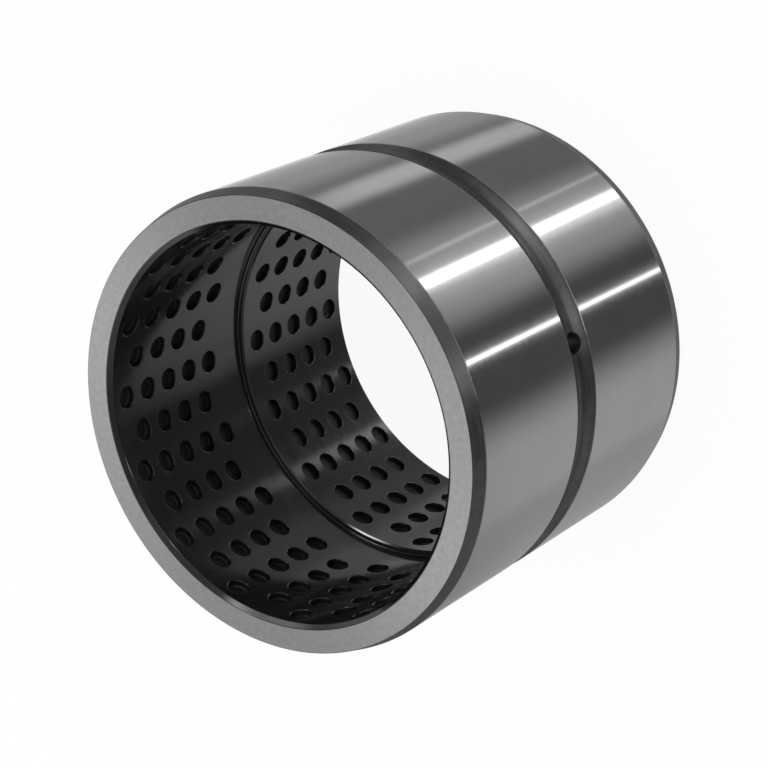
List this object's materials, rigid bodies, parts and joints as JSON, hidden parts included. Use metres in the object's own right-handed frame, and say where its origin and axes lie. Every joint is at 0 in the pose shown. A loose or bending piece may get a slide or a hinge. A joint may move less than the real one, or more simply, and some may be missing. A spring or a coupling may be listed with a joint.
{
  "type": "steel sleeve bearing",
  "caption": "Steel sleeve bearing with lead-in chamfers, grease grooves inside and out joined by a hole, and blind grease pockets in the bore.",
  "frame": {"origin": "centre of the lower end face, on the bearing's axis; the bearing stands on that face", "axes": "+Z along the bore's axis, up to the other end face; +X through the grease hole at mid length"},
  "size_m": [0.105, 0.105, 0.09],
  "materials": {
    "bearing_steel": "ground bright outside, blackened in the bore, grooves and chamfers"
  },
  "bodies": {
    "root": {"bearing_sleeve": "bearing_steel"}
  },
  "joints": []
}
